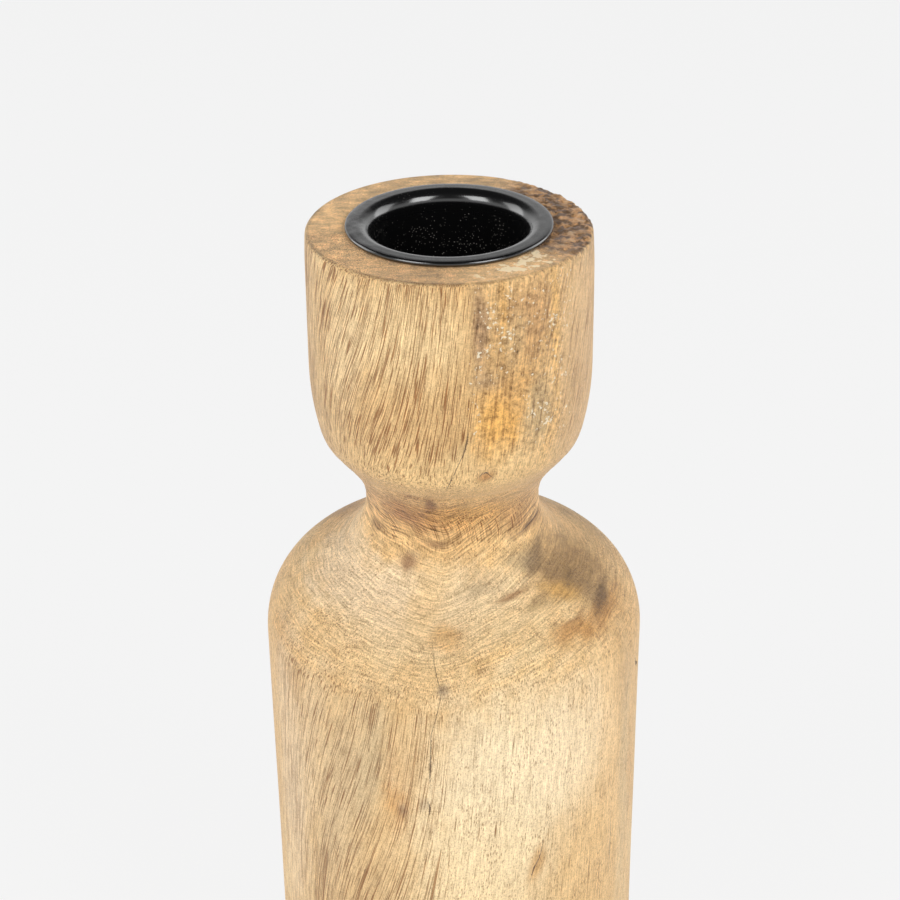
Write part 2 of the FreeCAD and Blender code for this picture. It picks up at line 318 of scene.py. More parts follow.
# Radius against height down the outside of a turned CAD piece: at each height of its mesh, the
# widest vertex, from the foot up.
def outsideOfTurning(node):
    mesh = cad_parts[node].data
    place = np.empty(len(mesh.vertices) * 3, np.float32)
    mesh.vertices.foreach_get("co", place)
    place = place.reshape(-1, 3).astype(float) / mm
    radius = np.hypot(place[:, 0], place[:, 1])
    height = np.round(place[:, 2], 3)
    levels, level = np.unique(height, return_inverse=True)
    widest = np.zeros(len(levels))
    np.maximum.at(widest, level.ravel(), radius)
    outside = widest > wood["seatRadius"] + 0.5
    return levels[outside], widest[outside]


# The half section of the wood: underside, foot edge, outside, rim, top face, bevel and seat.
def woodOutline():
    levels, widest = outsideOfTurning("turned_body")
    base, top = levels[0], levels[-1]
    footEdge, rimEdge = wood["footEdge"], wood["rimEdge"]
    height = np.arange(base + footEdge, top - rimEdge, 0.1)
    radius = np.interp(height, levels, widest)
    blur = np.exp(-np.linspace(-2.5, 2.5, 21) ** 2 / 2)
    radius = np.convolve(np.pad(radius, 10, "edge"), blur / blur.sum(), "valid")
    outside = np.stack([radius, height], axis=-1)
    footCentre = (radius[0] - footEdge, base + footEdge)
    rimCentre = (radius[-1] - rimEdge, top - rimEdge)
    seat, bevel = wood["seatRadius"], wood["seatBevel"]
    floor = top - wood["seatDepth"]
    dimple, dimpleDepth = wood["drillPoint"]
    parts = [
        lineThrough([(0, base), (footCentre[0], base)]),
        arcAbout(footCentre, footEdge, -90, 0),
        outside,
        arcAbout(rimCentre, rimEdge, 0, 90),
        lineThrough([(rimCentre[0], top), (seat + bevel, top)]),
        lineThrough([(seat + bevel, top), (seat, top - bevel), (seat, floor)]),
        lineThrough([(seat, floor), (dimple, floor), (0, floor - dimpleDepth)]),
    ]
    lengths = [np.hypot(*np.diff(part, axis=0).T).sum() for part in parts]
    return np.concatenate(parts), np.cumsum(lengths)


# The outline's rings, finer at the rim, and how far below the rim each lies along the surface.
def woodGrid():
    outline, ends = woodOutline()
    underEnd, footEnd, outsideEnd, rimEnd, topEnd, _, floorEnd = ends
    steps = [
        (0, 2.5), (underEnd - 1, 2.5), (underEnd, 0.4), (footEnd, 0.5), (footEnd + 4, 0.85),
        (outsideEnd - 72, 0.8), (outsideEnd - 66, 0.6), (outsideEnd - 36, 0.55),
        (outsideEnd - 2, 0.5), (outsideEnd - 0.2, 0.16), (rimEnd, 0.16), (rimEnd + 1, 0.3),
        (topEnd - 0.5, 0.3), (topEnd, 0.4), (topEnd + 3, 0.6), (topEnd + 6, 1.8), (floorEnd, 2.5),
    ]
    rings, along = spaced(outline, steps)
    return rings, rimEnd - along


# Where a point would be if the fibres ran straight up: it is turned back about the axis by how far
# its fibre has wandered since the reference height. Fibres lean most left of the front.
def alongFibres(angle, down, height):
    head = smooth(down, 52, 38)
    headLean = 0.1 + 0.28 * np.exp(-(turnGap(angle, -38) / 26) ** 2)
    headLean = headLean + 0.22 * np.exp(-(turnGap(angle, 62) / 20) ** 2)
    sideLean = 0.07 + 0.27 * np.exp(-(turnGap(angle, -32) / 24) ** 2)
    lean = sideLean + (headLean - sideLean) * head
    reference = 60 + 70 * head
    size = 29 - 8 * head
    rise = 40 * np.tanh((height - reference) / 40)      # so the lean dies out towards the foot
    return angle - np.degrees(lean * rise / size)


# Stains and paler patches, a few of them painted light and shade: angle, down, half width, half
# height, lean, colour, strength.
# The lean is from upright, positive where the top leans to the right.
woodStainsAndPaintedLight = [
    # head
    (-75, 14, 14, 26, 0, "d2b486", 0.5),
    (76, 18, 15, 24, 0, "c39b68", 0.4),
    (-30, 22, 9, 8, 10, "d3ab76", 0.4),
    (-20, 8, 10, 8, 10, "f0d4a2", 0.6),
    (-45, 13, 4, 10, 12, "f0d5a6", 0.5),
    (28, 10, 7.6, 11, 0, "bf9762", 0.9),
    (11, 7, 1.3, 7, 0, "a5835f", 0.85),
    (20.5, 6, 0.6, 8, 0, "d0a05a", 0.6),
    (34, 6, 3.6, 6, 0, "b3895a", 0.65),
    (25, 9, 2, 4, 20, "c8a878", 0.6),
    (13, 15, 2, 2.5, 0, "a98a66", 0.6),
    (18, 23, 3.9, 6.2, 0, "d9a14e", 0.8),
    (26, 18, 3, 4, 0, "d2a05c", 0.6),
    (36, 22, 2.8, 6, 5, "b99c70", 0.85),
    (45.5, 10, 0.9, 13, -2, "d6a75c", 0.6),
    (43, 27, 1.2, 5, 10, "d9ac6c", 0.6),
    (62, 16, 6, 20, 0, "cfac7e", 0.7),
    (3, 27, 1.3, 4, 18, "b99a6c", 0.5),
    (4, 30.5, 16, 4.5, 0, "ebc991", 0.6),
    (14, 31, 1.6, 0.9, -20, "b5804a", 0.8),
    # neck
    (-58, 44, 7, 4, 0, "ae8a5c", 0.5),
    # A band round the front of the neck under the bowl, darker than the wood above and below: partly
    # the wood's colour, partly painted shade.
    (0, 43.5, 30, 4, 0, "d2a871", 0.7),
    (-24, 42.5, 7, 3.4, 0, "ad7d4f", 0.75),
    (-12, 39.4, 1, 2.6, 0, "8a6142", 0.85),
    (-22, 37.5, 2.3, 0.9, 0, "a67c55", 0.6),
    (-12, 47.8, 2.2, 0.5, 0, "85603f", 0.8),
    (-30, 43.5, 3.6, 1.2, -10, "9c7350", 0.6),
    (-58, 47.8, 2.2, 1, 0, "94724c", 0.8),
    (10, 42.5, 7, 3, 0, "d0a05e", 0.6),
    (45, 44, 4, 3.2, 0, "b58c5c", 0.7),
    (62, 48.2, 6.5, 0.6, 0, "8f6a44", 0.8),
    # shoulder
    (-10, 61, 40, 9, 0, "dcc79c", 0.4),
    (6, 57, 13, 6, 0, "e9d3aa", 0.65),
    (-25, 62, 12, 5, 0, "dfc69d", 0.5),
    (-52, 57.5, 17, 6, 0, "e6d0ae", 0.8),
    (-28, 51.2, 1.5, 1.4, 20, "8b6545", 0.8),
    (-12, 57, 3, 6, 0, "e6c48c", 0.6),
    (13, 54, 3.4, 2.4, -30, "b8a27f", 0.7),
    (28, 57, 3.8, 0.6, -10, "8e6238", 0.8),
    (68, 58, 8, 7, 0, "937448", 0.8),
    (58, 58, 2.2, 9, -24, "957850", 0.8),
    (53, 53, 4.5, 1.3, -30, "7a6141", 0.8),
    (60, 58.5, 3.8, 0.9, -35, "84683f", 0.7),
    (40, 52, 3.5, 1.6, 20, "a5906d", 0.6),
    (50, 59.5, 3.6, 2.4, 30, "c79c58", 0.85),
    (38, 59.5, 3, 1.2, -20, "a98c60", 0.7),
    (54, 66.3, 10, 2.7, 0, "b3803f", 0.85),
    (65, 64.2, 4.5, 1.3, -20, "6b5133", 0.85),
    (44, 64.5, 3.5, 0.5, -8, "95693a", 0.7),
    (-48, 67, 9, 2.8, -6, "d8b27b", 0.6),
    (-2, 63, 2.6, 2.4, 10, "c99e64", 0.85),
    (9, 67.4, 6, 1.2, -25, "dcb06e", 0.8),
    (-6, 72, 3, 3.5, 20, "e0b679", 0.6),
    (-3.6, 70.6, 1.0, 1.0, 0, "5e3a20", 1.0),
    # side
    (-25, 94, 17, 34, 0, "ecca96", 0.4),
    (-36, 92, 5, 22, 14, "d3b88f", 0.65),
    (-50, 88, 4, 20, 12, "e0c49a", 0.6),
    (-25, 84, 2.4, 12, 12, "cfb68c", 0.6),
    (-62, 96, 5, 30, 0, "ecd2ac", 0.6),
    (-18, 90, 2.6, 9, 5, "e2b67c", 0.7),
    (-17, 91.5, 2.3, 2.8, 10, "cf964e", 0.85),
    (-16, 92.5, 1, 1.2, 10, "8a5a2c", 0.9),
    (-9, 91, 0.9, 1.2, 20, "7c552f", 0.9),
    # The three palest patches, on the front right of the side, are pale wood painted paler still where
    # the key lamp lights it most: partly a painted highlight.
    (16, 88, 15, 17, 0, "f6e1ba", 0.85),
    (38, 84, 9, 12, 0, "f8e0b8", 0.6),
    (8, 108, 13, 18, 0, "f5dcae", 0.8),
    (55, 88, 3, 20, 0, "ecc893", 0.6),
    (65, 98, 2.5, 26, 0, "d3b88c", 0.6),
    (25, 104, 1.3, 3.6, 8, "c08d4c", 0.7),
    (47, 108, 8, 16, 0, "e9c288", 0.6),
    (-33, 116, 9, 12, 10, "d0ad7d", 0.5),
    # back, which carries the same figure more quietly
    (110, 18, 8, 12, 10, "caa06c", 0.6),
    (150, 12, 6, 16, -6, "b98d5d", 0.6),
    (-140, 20, 9, 14, 6, "dcbc8a", 0.5),
    (-110, 10, 3, 16, 4, "c39b67", 0.6),
    (120, 62, 9, 4, -10, "b79869", 0.7),
    (170, 60, 10, 4, 5, "c8a26c", 0.6),
    (-130, 60, 5, 3, -20, "a07e57", 0.7),
    (130, 96, 6, 26, 6, "d2ac75", 0.6),
    (165, 90, 4, 14, -8, "bb9564", 0.6),
    (-160, 105, 7, 30, 4, "e7cb98", 0.6),
    (-120, 90, 4, 20, 10, "c9a674", 0.6),
    (100, 120, 6, 20, 0, "c6a06c", 0.6),
]

# Cracks and tool scars: corners as (angle, down), then half width at each corner in millimetres.
woodCracks = [
    # the drying shake down the front, which opens a little on the side
    ([(-7.8, 62.6), (-6.2, 67), (-4.4, 70.2)], [0.0, 0.05, 0.06]),
    ([(-3.9, 71), (-5.2, 74.5), (-7, 78), (-7.2, 82)], [0.04, 0.06, 0.04, 0.08]),
    ([(-7.2, 82), (-7.4, 84), (-7.6, 87)], [0.08, 0.17, 0.03]),
    ([(-7.9, 90.3), (-7.8, 91.6), (-8, 93)], [0.0, 0.18, 0.0]),
    # the crack at the bottom of the bowl, and a small scar beside it
    ([(6.5, 22.5), (6.1, 24.5), (4.6, 26.6)], [0.0, 0.14, 0.06]),
    ([(4.6, 26.6), (1.5, 29.5), (-0.5, 31.5), (-2.8, 33.6)], [0.06, 0.04, 0.09, 0.0]),
    ([(10.8, 31.6), (12, 30.5), (14.5, 30.4), (17.4, 31.5)], [0.0, 0.1, 0.12, 0.0]),
    # across the neck on the right
    ([(47, 48.4), (58, 48.2), (77, 48)], [0.0, 0.13, 0.1]),
    ([(55, 46.4), (66, 46), (78, 46.2)], [0.0, 0.1, 0.06]),
    # lifted grain low on the side
    ([(22.5, 107.5), (24, 105), (26, 103), (27.5, 99)], [0.0, 0.12, 0.07, 0.0]),
    ([(56.5, 100), (57, 108), (56, 116)], [0.0, 0.1, 0.0]),
    ([(73, 78), (77, 80.5)], [0.0, 0.3]),
    # on the back
    ([(-142, 76), (-146, 90), (-143, 104), (-147, 121)], [0.0, 0.12, 0.15, 0.0]),
    ([(158, 1), (155, 9), (157, 17)], [0.2, 0.12, 0.0]),
]


# The signed distance to the nearest crack, and that crack's half width there.
def crackField(angle, down, radius):
    nearest = np.full(angle.shape, 50.0)
    signed = np.full(angle.shape, 50.0)
    wide = np.zeros(angle.shape)
    for corners, widths in woodCracks:
        for (start, end, startWide, endWide) in zip(corners, corners[1:], widths, widths[1:]):
            across = np.radians(turnGap(angle, start[0])) * radius
            below = down - start[1]
            runAcross = np.radians(end[0] - start[0]) * radius
            runBelow = end[1] - start[1]
            square = runAcross**2 + runBelow**2
            part = np.clip((across * runAcross + below * runBelow) / square, 0, 1)
            gap = np.hypot(across - part * runAcross, below - part * runBelow)
            side = np.sign(across * runBelow - below * runAcross)
            closer = gap < nearest
            nearest = np.where(closer, gap, nearest)
            signed = np.where(closer, gap * side, signed)
            wide = np.where(closer, startWide + part * (endWide - startWide), wide)
    return signed, wide


# 1 between low and high, and 0 further than soft outside them.
def window(value, low, high, soft):
    return smooth(value, low - soft, low + soft) * smooth(value, high + soft, high - soft)


# The same window in angle, on either side of centre.
def angleWindow(angle, centre, half, soft):
    return smooth(np.abs(turnGap(angle, centre)), half + soft, half - soft)


# Layers of growth meet in a V down the front, and its right arm is the steeper. Returns how far
# down the front each point's layer lies, and the distance round the piece, in millimetres.
def growthLayers(angle, down, radius):
    gap = turnGap(angle, wood["vee"])
    spread = np.hypot(gap, wood["veeRound"]) - wood["veeRound"]
    right, left = np.where(gap > 0, spread, 0), np.where(gap > 0, 0, spread)
    layer = down + 9.5 * (1 - np.exp(-right / 38)) + 3.2 * (1 - np.exp(-left / 30))
    return layer, np.radians(gap) * radius


# The wood's slow colours: a straw ground with wandering bands, then each stain in turn, some of
# which are painted light and shade. A stain is an ellipse on a surface that noise has pulled about,
# so its edge is uneven.
def paintWood(points, radius, angle, down):
    straw, tan, cream = linear("dcb67e"), linear("cba26c"), linear("edd09c")
    rough = layeredNoise(points * [1, 1, 0.3], 9, 11)
    fine = layeredNoise(points * [1, 1, 0.45], 2.4, 31)
    level = np.clip(0.5 + 0.4 * rough + 0.25 * fine, 0, 1)[..., None]
    colour = tan + (straw - tan) * smooth(level, 0.0, 0.6) + (cream - straw) * smooth(level, 0.55, 1.0)
    layer, arc = growthLayers(angle, down, radius)
    bands = layeredNoise(np.stack([layer, arc * 0.12, 0 * arc], -1), 1.3, 77)
    shoulder = window(down, 48, 74, 4)
    colour = colour * (1 + 0.13 * bands * shoulder)[..., None]
    pullSide = 1.5 * layeredNoise(points, 5, 57) + 0.5 * noise(points, 0.9, 58)
    pullUp = 1.9 * layeredNoise(points, 5, 59) + 0.7 * noise(points * [1, 1, 0.5], 0.9, 60)
    patchy = layeredNoise(points * [1, 1, 0.5], 1.6, 63) + 1.3 * bands * shoulder
    for centre, middle, halfWide, halfHigh, lean, code, strength in woodStainsAndPaintedLight:
        small = min(1, halfWide / 3, halfHigh / 3)
        across = np.radians(turnGap(angle, centre)) * radius + pullSide * small
        up = middle - down + pullUp * small
        cosine, sine = math.cos(math.radians(lean)), math.sin(math.radians(lean))
        along = up * cosine + across * sine
        side = across * cosine - up * sine
        edge = np.hypot(side / halfWide, along / halfHigh) + 0.22 * patchy * small
        mask = strength * smooth(edge, 1.45, 0.3)
        colour = colour + (linear(code) * (0.9 + 0.2 * level) - colour) * mask[..., None]
    return colour


# End grain on the top face: browner than the side, darkest where it tore, with a burnt line round
# the front left of the rim.
def paintTopFace(colour, points, angle, down, torn):
    onTop = smooth(down, 0.05, -0.35)
    grain = layeredNoise(points, 1.6, 71)[..., None]
    pale = angleWindow(angle, -75, 35, 30)[..., None]
    lines = noise(points * [0.25, 1.2, 1], 0.45, 73)[..., None]
    back = angleWindow(angle, 180, 60, 40)[..., None]
    face = linear("e0b57b") * (1 + 0.5 * grain + 0.35 * lines + 0.15 * pale - 0.12 * back)
    broken = linear("b88b5b") * (1 + 0.9 * grain)
    face = face + (broken - face) * torn[..., None]
    colour = colour + (face - colour) * onTop[..., None]
    rimLine = window(down, -0.45, 0.1, 0.25) * angleWindow(angle, *wood["burnt"])
    rimLine = rimLine * (0.6 + 0.9 * layeredNoise(points, 1.5, 5))
    return colour * (1 - 0.65 * np.clip(rimLine, 0, 1))[..., None]


# The outline turned about the axis and moved along its normal: low waves, a worn rim, the tool's
# crease, shallow rings, grooves along the cracks and ragged torn grain. The colour and the masks for
# the material are worked out at the same points.
def makeWoodMesh():
    rings, down = woodGrid()
    radius, angle, height = revolve(rings, wood["segments"])
    down = np.broadcast_to(down[:, None], angle.shape)
    points = toPoints(radius, angle, height)
    signed, wide = crackField(angle, down, radius)
    torn = angleWindow(angle, *wood["torn"]) * window(down, -7.5, 0.8, 0.9)
    tornSide = angleWindow(angle, *wood["tornSide"]) * window(down, -1, 3.5, 3)

    outside = smooth(down, -0.3, 0.3) * smooth(height, 3, 6)
    creaseDown, creaseDepth = wood["crease"]
    offset = wood["sway"] * layeredNoise(points * [1, 1, 0.6], 14, 3) * outside
    offset = offset - wood["wornRim"] * np.exp(-np.maximum(down, 0) / 2.5) * outside
    offset = offset - creaseDepth * np.exp(-((down - creaseDown - 1.2) / 0.55) ** 2)
    toolRings = np.sin(down * 2.9 + 2 * layeredNoise(points, 20, 9)) * window(down, 30, 62, 4)
    offset = offset + wood["ringDepth"] * toolRings
    groove = smooth(np.abs(signed), 0.75, 0.1) * smooth(wide, 0.02, 0.2)
    offset = offset - wood["grooveDepth"] * groove
    ragged = np.abs(layeredNoise(points * [1, 1, 0.7], 1.3, 17)) * wood["tornDepth"]
    ragged = ragged + 0.2 * noise(points, 0.5, 23)
    offset = offset - (0.1 + ragged) * np.maximum(torn, 0.2 * tornSide)

    normals = outlineNormals(rings)
    radius = np.maximum(radius + offset * normals[:, :1], 0)
    height = height + offset * normals[:, 1:]
    moved = toPoints(radius, angle, height)
    piece = gridObject("turnedWood", moved)

    colour = paintWood(points, radius, angle, down)
    colour = paintTopFace(colour, points, angle, down, torn)
    straight = alongFibres(angle, down, height)
    ontoSide = 0.75 * (wood["bowlSize"] - radius) * window(down, 1, 33, 3)
    fibre = toPoints(radius + ontoSide, straight, height)
    onHead, onSide = smooth(down, 40, 33), smooth(down, 67, 75)
    left = angleWindow(angle, *wood["grainLeft"])
    headLeft = angleWindow(angle, *wood["headLeft"]) * onHead
    layer, arc = growthLayers(angle, down, radius)
    layer = layer + 0.7 * layeredNoise(points, 4, 81)
    strokes = 0.2 + 0.8 * headLeft + onSide * (0.4 * left - 0.3)
    strokes = strokes + 0.35 * angleWindow(angle, 65, 18, 10) * onHead
    strokes = strokes * (1 - 0.45 * window(down, 29, 36, 4))
    strokes = strokes + 0.5 * window(down, 38, 47.5, 1.5) * angleWindow(angle, 0, 75, 15)
    longLines = left * onSide + 0.6 * headLeft
    longLines = longLines + 0.55 * angleWindow(angle, 48, 20, 10) * smooth(down, 84, 98)
    dashes = 0.5 + 0.3 * onSide * (1 - left) + 0.4 * window(down, 56, 72, 4)
    # where the head carries pale specks: partly pale wood, partly painted glints
    fleckGlints = angleWindow(angle, 17, 8, 3) * window(down, 1, 15, 3)
    fleckGlints = fleckGlints + 0.75 * angleWindow(angle, 42, 13, 6) * window(down, 1, 27, 4)
    fleckGlints = fleckGlints + 0.9 * angleWindow(angle, 9, 2, 2) * window(down, 10, 24, 2)
    chips = angleWindow(angle, 34, 20, 8) * window(down, -5.6, -1.2, 0.6)
    block = angleWindow(angle, *wood["block"]) * smooth(down, 33, 26) * smooth(down, -0.5, 0.5)
    layered = window(down, 42, 72, 4) + 1.5 * window(down, 38, 48.5, 1.5)
    storeAttribute(piece, "figure", "FLOAT_COLOR", colour)
    storeAttribute(piece, "fibre", "FLOAT_VECTOR", fibre)
    storeAttribute(piece, "layers", "FLOAT_VECTOR", np.stack([layer, arc, 0 * arc], -1))
    for name, values in (
        ("strokes", strokes), ("longLines", longLines), ("dashes", dashes), ("fleckGlints", fleckGlints),
        ("chips", chips), ("block", block), ("layered", layered),
        ("torn", np.maximum(torn, 0.35 * tornSide)), ("crackGap", signed), ("crackWide", wide),
    ):
        storeAttribute(piece, name, "FLOAT", np.clip(values, -60, 60))
    return piece


# Raw wood: pores, strokes and lines drawn out along the fibres darken the painted figure, and pale
# streaks along them are a painted highlight. Then come pale flecks, partly painted glints, chips,
# torn pits painted dark as shade with painted highlights on their ridges, and cracks.
def makeWoodMaterial():
    shader = Shader("rawMango")
    fibre = shader.attribute("fibre", "Vector")
    layers = shader.attribute("layers", "Vector")
    place = shader.objectPlace()
    strokes = shader.attribute("strokes")
    longLines = shader.attribute("longLines")
    dashes = shader.attribute("dashes")
    torn = shader.attribute("torn")
    block = shader.attribute("block")
    layered = shader.attribute("layered")

    # fibres run up the piece, so every pattern is drawn out along the third axis
    streak = shader.noise(shader.stretch(fibre, (2.4, 2.4, 0.12)), 1.0, 3.0, 0.6)
    fineStreak = shader.noise(shader.stretch(fibre, (6.0, 6.0, 0.55)), 1.0, 2.0, 0.6)
    grit = shader.noise(place, 4200.0, 2.0, 0.65)
    clump = shader.noise(shader.stretch(fibre, (0.4, 0.4, 0.14)), 1.0, 2.0, 0.5)

    strokeNoise = shader.noise(shader.stretch(fibre, (7.2, 7.2, 0.2)), 1.0, 1.0, 0.5)
    stroke = (strokeNoise + strokes * (0.035 + clump * 0.18)).ramp(0.63, 0.75)
    lineNoise = shader.noise(shader.stretch(fibre, (5.0, 5.0, 0.05)), 1.0, 2.0, 0.55)
    line = (lineNoise + longLines * (clump * 0.22 + 0.03) - 0.07).ramp(0.63, 0.7)
    speck = shader.spots(shader.stretch(fibre, (4.2, 4.2, 0.9)), 1.0)
    dash = (dashes * clump * 0.6 - speck).ramp(-0.03, 0.1)
    # pale streaks along the fibres that brighten the colour below: a painted highlight
    paintedHighlight = shader.noise(shader.stretch(fibre, (3.4, 3.4, 0.2)), 1.0, 2.0, 0.6).ramp(0.5, 0.68)
    layerNoise = shader.noise(shader.stretch(layers, (3.4, 0.22, 1.0)), 1.0, 3.0, 0.6)
    mottle = shader.noise(place, 1250.0, 3.0, 0.65)

    gap = shader.attribute("crackGap") + (grit - 0.5) * 0.35
    broken = mottle.ramp(0.32, 0.52, 0.35, 1.1)
    crack = (shader.attribute("crackWide") * broken - abs(gap)).ramp(-0.04, 0.06)
    # pale specks on the head's right, painted bright: partly pale wood, partly painted glints
    fleckNoise = shader.noise(place, 1800.0, 2.5, 0.55)
    fleckClump = shader.noise(place, 520.0, 1.0, 0.5)
    fleckGlints = shader.attribute("fleckGlints")
    fleckGlint = (fleckNoise + fleckGlints * (fleckClump - 0.3) * 0.42).ramp(0.69, 0.74)
    fleckGlint = fleckGlint * (fleckGlints * 3.0).smaller(1.0)
    chips = shader.attribute("chips")
    chip = shader.noise(place, 800.0, 3.0, 0.55) + chips * 0.1
    chip = chip.ramp(0.62, 0.64) * (chips * 2.5).smaller(1.0)

    tone = 1.0 + (streak - 0.5) * 0.5 + (fineStreak - 0.5) * 0.8 + (grit - 0.5) * 0.95
    tone = tone + (layerNoise - 0.5) * 1.5 * layered + (mottle - 0.5) * (0.5 + block * 1.6)
    tone = tone + paintedHighlight * (0.12 + strokes * 0.12) + block * (streak - 0.5) * 0.8
    colour = shader.scaleColour(shader.attribute("figure", "Color"), tone)
    browner = ((1.0 - tone) * 1.7).larger(0.0).smaller(1.0)
    colour = shader.mix(browner, colour, (0.97, 0.83, 0.64, 1), "MULTIPLY")
    dark = (line * 0.85).larger(stroke * 0.92).larger(dash * 0.75)
    soaked = (0.38, 0.24, 0.145, 1)
    colour = shader.mix(dark * (1.0 - block * 0.45), colour, soaked, "MULTIPLY")
    colour = shader.mix(fleckGlint * 0.85, colour, (0.88, 0.78, 0.58, 1))
    colour = shader.mix(chip * 0.95, colour, (1.0, 0.8, 0.5, 1))
    # In the torn grain the pits are painted dark as shade and the ridges between them painted pale as
    # a highlight, following the same noise as the bump.
    pit = shader.noise(place, 720.0, 4.0, 0.62)
    colour = shader.mix(torn * pit.ramp(0.55, 0.44) * 0.9, colour, (0.1, 0.05, 0.022, 1))
    colour = shader.mix(torn * pit.ramp(0.56, 0.68) * 0.6, colour, (0.66, 0.46, 0.27, 1))
    colour = shader.mix(crack * 0.8, colour, (0.07, 0.035, 0.016, 1))

    relief = streak * 0.3 + fineStreak * 0.5 + grit * 0.7 - dark * 0.5
    relief = relief - crack * 1.5 + (chip + fleckGlint) * 0.6 + pit * torn * 2.0 + mottle * block * 0.9
    normal = shader.bump(relief, 0.6, 0.00022)
    roughness = 0.58 + grit * 0.2 + dark * 0.1
    inputs = {"Base_Color": colour, "Roughness": roughness, "Normal": normal}
    return shader.finish(**inputs, Specular_IOR_Level=0.5, Sheen_Weight=0.25, Sheen_Roughness=0.4)


turnedWood = makeWoodMesh()
turnedWood.data.materials.append(makeWoodMaterial())
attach(turnedWood, "stick")
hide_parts("turned_body")
print("wood:", len(turnedWood.data.polygons), "faces")


# the candle cup

cup = {
    "segments": 256,
    "inner": 11.4,
    "sheet": 0.8,
    "throat": 1.9,          # bend at the mouth, on the inside
    "depth": 22.0,          # of the inner floor below the wood
    "floorBend": 1.3,
    "lift": 0.12,           # the lip's edge stands this far off the wood
    "dome": 0.12,           # the lip's crown over a flat ring
    "dent": 0.05,
}


# The cup's half section, from the middle of its underside up the outside of the tube, out along the
# lip, over its rolled edge, and back down the inside.
def cupOutline():
    high = np.array(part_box("candle_cup")[1]) / mm
    lipRadius, lipTop = high[0], high[2]
    sheet, inner = cup["sheet"], cup["inner"]
    outer = inner + sheet
    woodTop = lipTop - sheet
    floor, bend, throat = woodTop - cup["depth"], cup["floorBend"], cup["throat"]
    floorCentre = (inner - bend, floor + bend)
    throatCentre = (inner + throat, lipTop - throat)
    edge = sheet / 2 - cup["lift"] / 2
    edgeCentre = (lipRadius - edge, woodTop + cup["lift"] + edge)
    parts = [
        lineThrough([(0, floor - sheet), (floorCentre[0], floor - sheet)]),
        arcAbout(floorCentre, bend + sheet, -90, 0),
        lineThrough([(outer, floorCentre[1]), (outer, throatCentre[1])]),
        arcAbout(throatCentre, throat - sheet, 180, 95),
        lineThrough([(throatCentre[0], woodTop), (edgeCentre[0], woodTop + cup["lift"])]),
        arcAbout(edgeCentre, edge, -90, 90),
        lineThrough([(edgeCentre[0], lipTop), (throatCentre[0], lipTop)]),
        arcAbout(throatCentre, throat, 90, 180),
        lineThrough([(inner, throatCentre[1]), (inner, floorCentre[1])]),
        arcAbout(floorCentre, bend, 0, -90),
        lineThrough([(floorCentre[0], floor), (0, floor)]),
    ]
    lengths = [np.hypot(*np.diff(part, axis=0).T).sum() for part in parts]
    return np.concatenate(parts), np.cumsum(lengths), lipTop


# The outline turned about the axis, with the lip crowned like a shallow dome and faintly dented.
def makeCupMesh():
    outline, ends, lipTop = cupOutline()
    lipStart, lipEnd = ends[2], ends[7]
    steps = [
        (0, 1.5), (ends[0] - 1, 1.5), (ends[0], 0.25), (ends[1], 0.25), (ends[1] + 2, 1.2),
        (lipStart - 2, 1.2), (lipStart, 0.14), (ends[4], 0.14), (ends[4] + 0.1, 0.07),
        (ends[5], 0.07), (ends[5] + 0.2, 0.16), (ends[6], 0.12), (lipEnd, 0.12),
        (lipEnd + 2, 0.8), (ends[8] - 2, 0.8), (ends[8], 0.25), (ends[9], 0.25), (ends[10], 1.5),
    ]
    rings, _ = spaced(outline, steps)
    radius, angle, height = revolve(rings, cup["segments"])
    points = toPoints(radius, angle, height)
    lip = smooth(height, lipTop - 2.5, lipTop - 0.8) * smooth(radius, 11.6, 13)
    crown = 1 - ((radius - 14.2) / 1.3) ** 2
    height = height - cup["dome"] * (1 - np.clip(crown, 0, 1)) * lip * smooth(radius, 13.6, 14.6)
    dents = layeredNoise(points * [1, 1, 0], 3.2, 41) * (0.35 + angleWindow(angle, -95, 35, 25))
    height = height - cup["dent"] * np.abs(dents) * lip
    piece = gridObject("candleCup", toPoints(radius, angle, height))
    inside = smooth(height, lipTop - 1.6, lipTop - 4) * (radius < cup["inner"] + 0.3)
    storeAttribute(piece, "inside", "FLOAT", inside)
    return piece


# Satin black paint: a dark ground under a glossier coat, with a little dust.
def makeCupMaterial():
    shader = Shader("satinBlackPaint")
    place = shader.objectPlace()
    inside = shader.attribute("inside")
    peel = shader.noise(place, 900.0, 2.0, 0.5)
    haze = shader.noise(place, 160.0, 3.0, 0.6)
    scratch = shader.noise(shader.stretch(place, (2600.0, 900.0, 900.0)), 1.0, 2.0, 0.6)
    speck = shader.spots(place, 2300.0)
    dustSize = shader.noise(place, 420.0, 1.0, 0.5)
    dust = (dustSize * 0.42 + inside * 0.06 - 0.08 - speck).ramp(0.0, 0.08)
    colour = shader.mix(dust * (0.1 + inside * 0.3), (0.003, 0.003, 0.0032, 1), (0.42, 0.4, 0.36, 1))
    roughness = 0.2 + haze * 0.12 + scratch * 0.06 + dust * 0.4
    normal = shader.bump(peel * 0.6 + scratch * 0.15 + dust * 0.7, 0.22, 0.00006)
    inputs = {"Base_Color": colour, "Roughness": roughness, "Normal": normal}
    inputs["Coat_Weight"] = 1.0 - inside * 0.85
    return shader.finish(**inputs, Specular_IOR_Level=0.12, Coat_Roughness=0.17, Coat_IOR=1.8)


candleCup = makeCupMesh()
candleCup.data.materials.append(makeCupMaterial())
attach(candleCup, "cup")
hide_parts("candle_cup")
print("cup:", len(candleCup.data.polygons), "faces")


# the felt under the foot

felt = {
    "segments": 240,
    "edge": 0.35,
    "nap": 0.05,
}


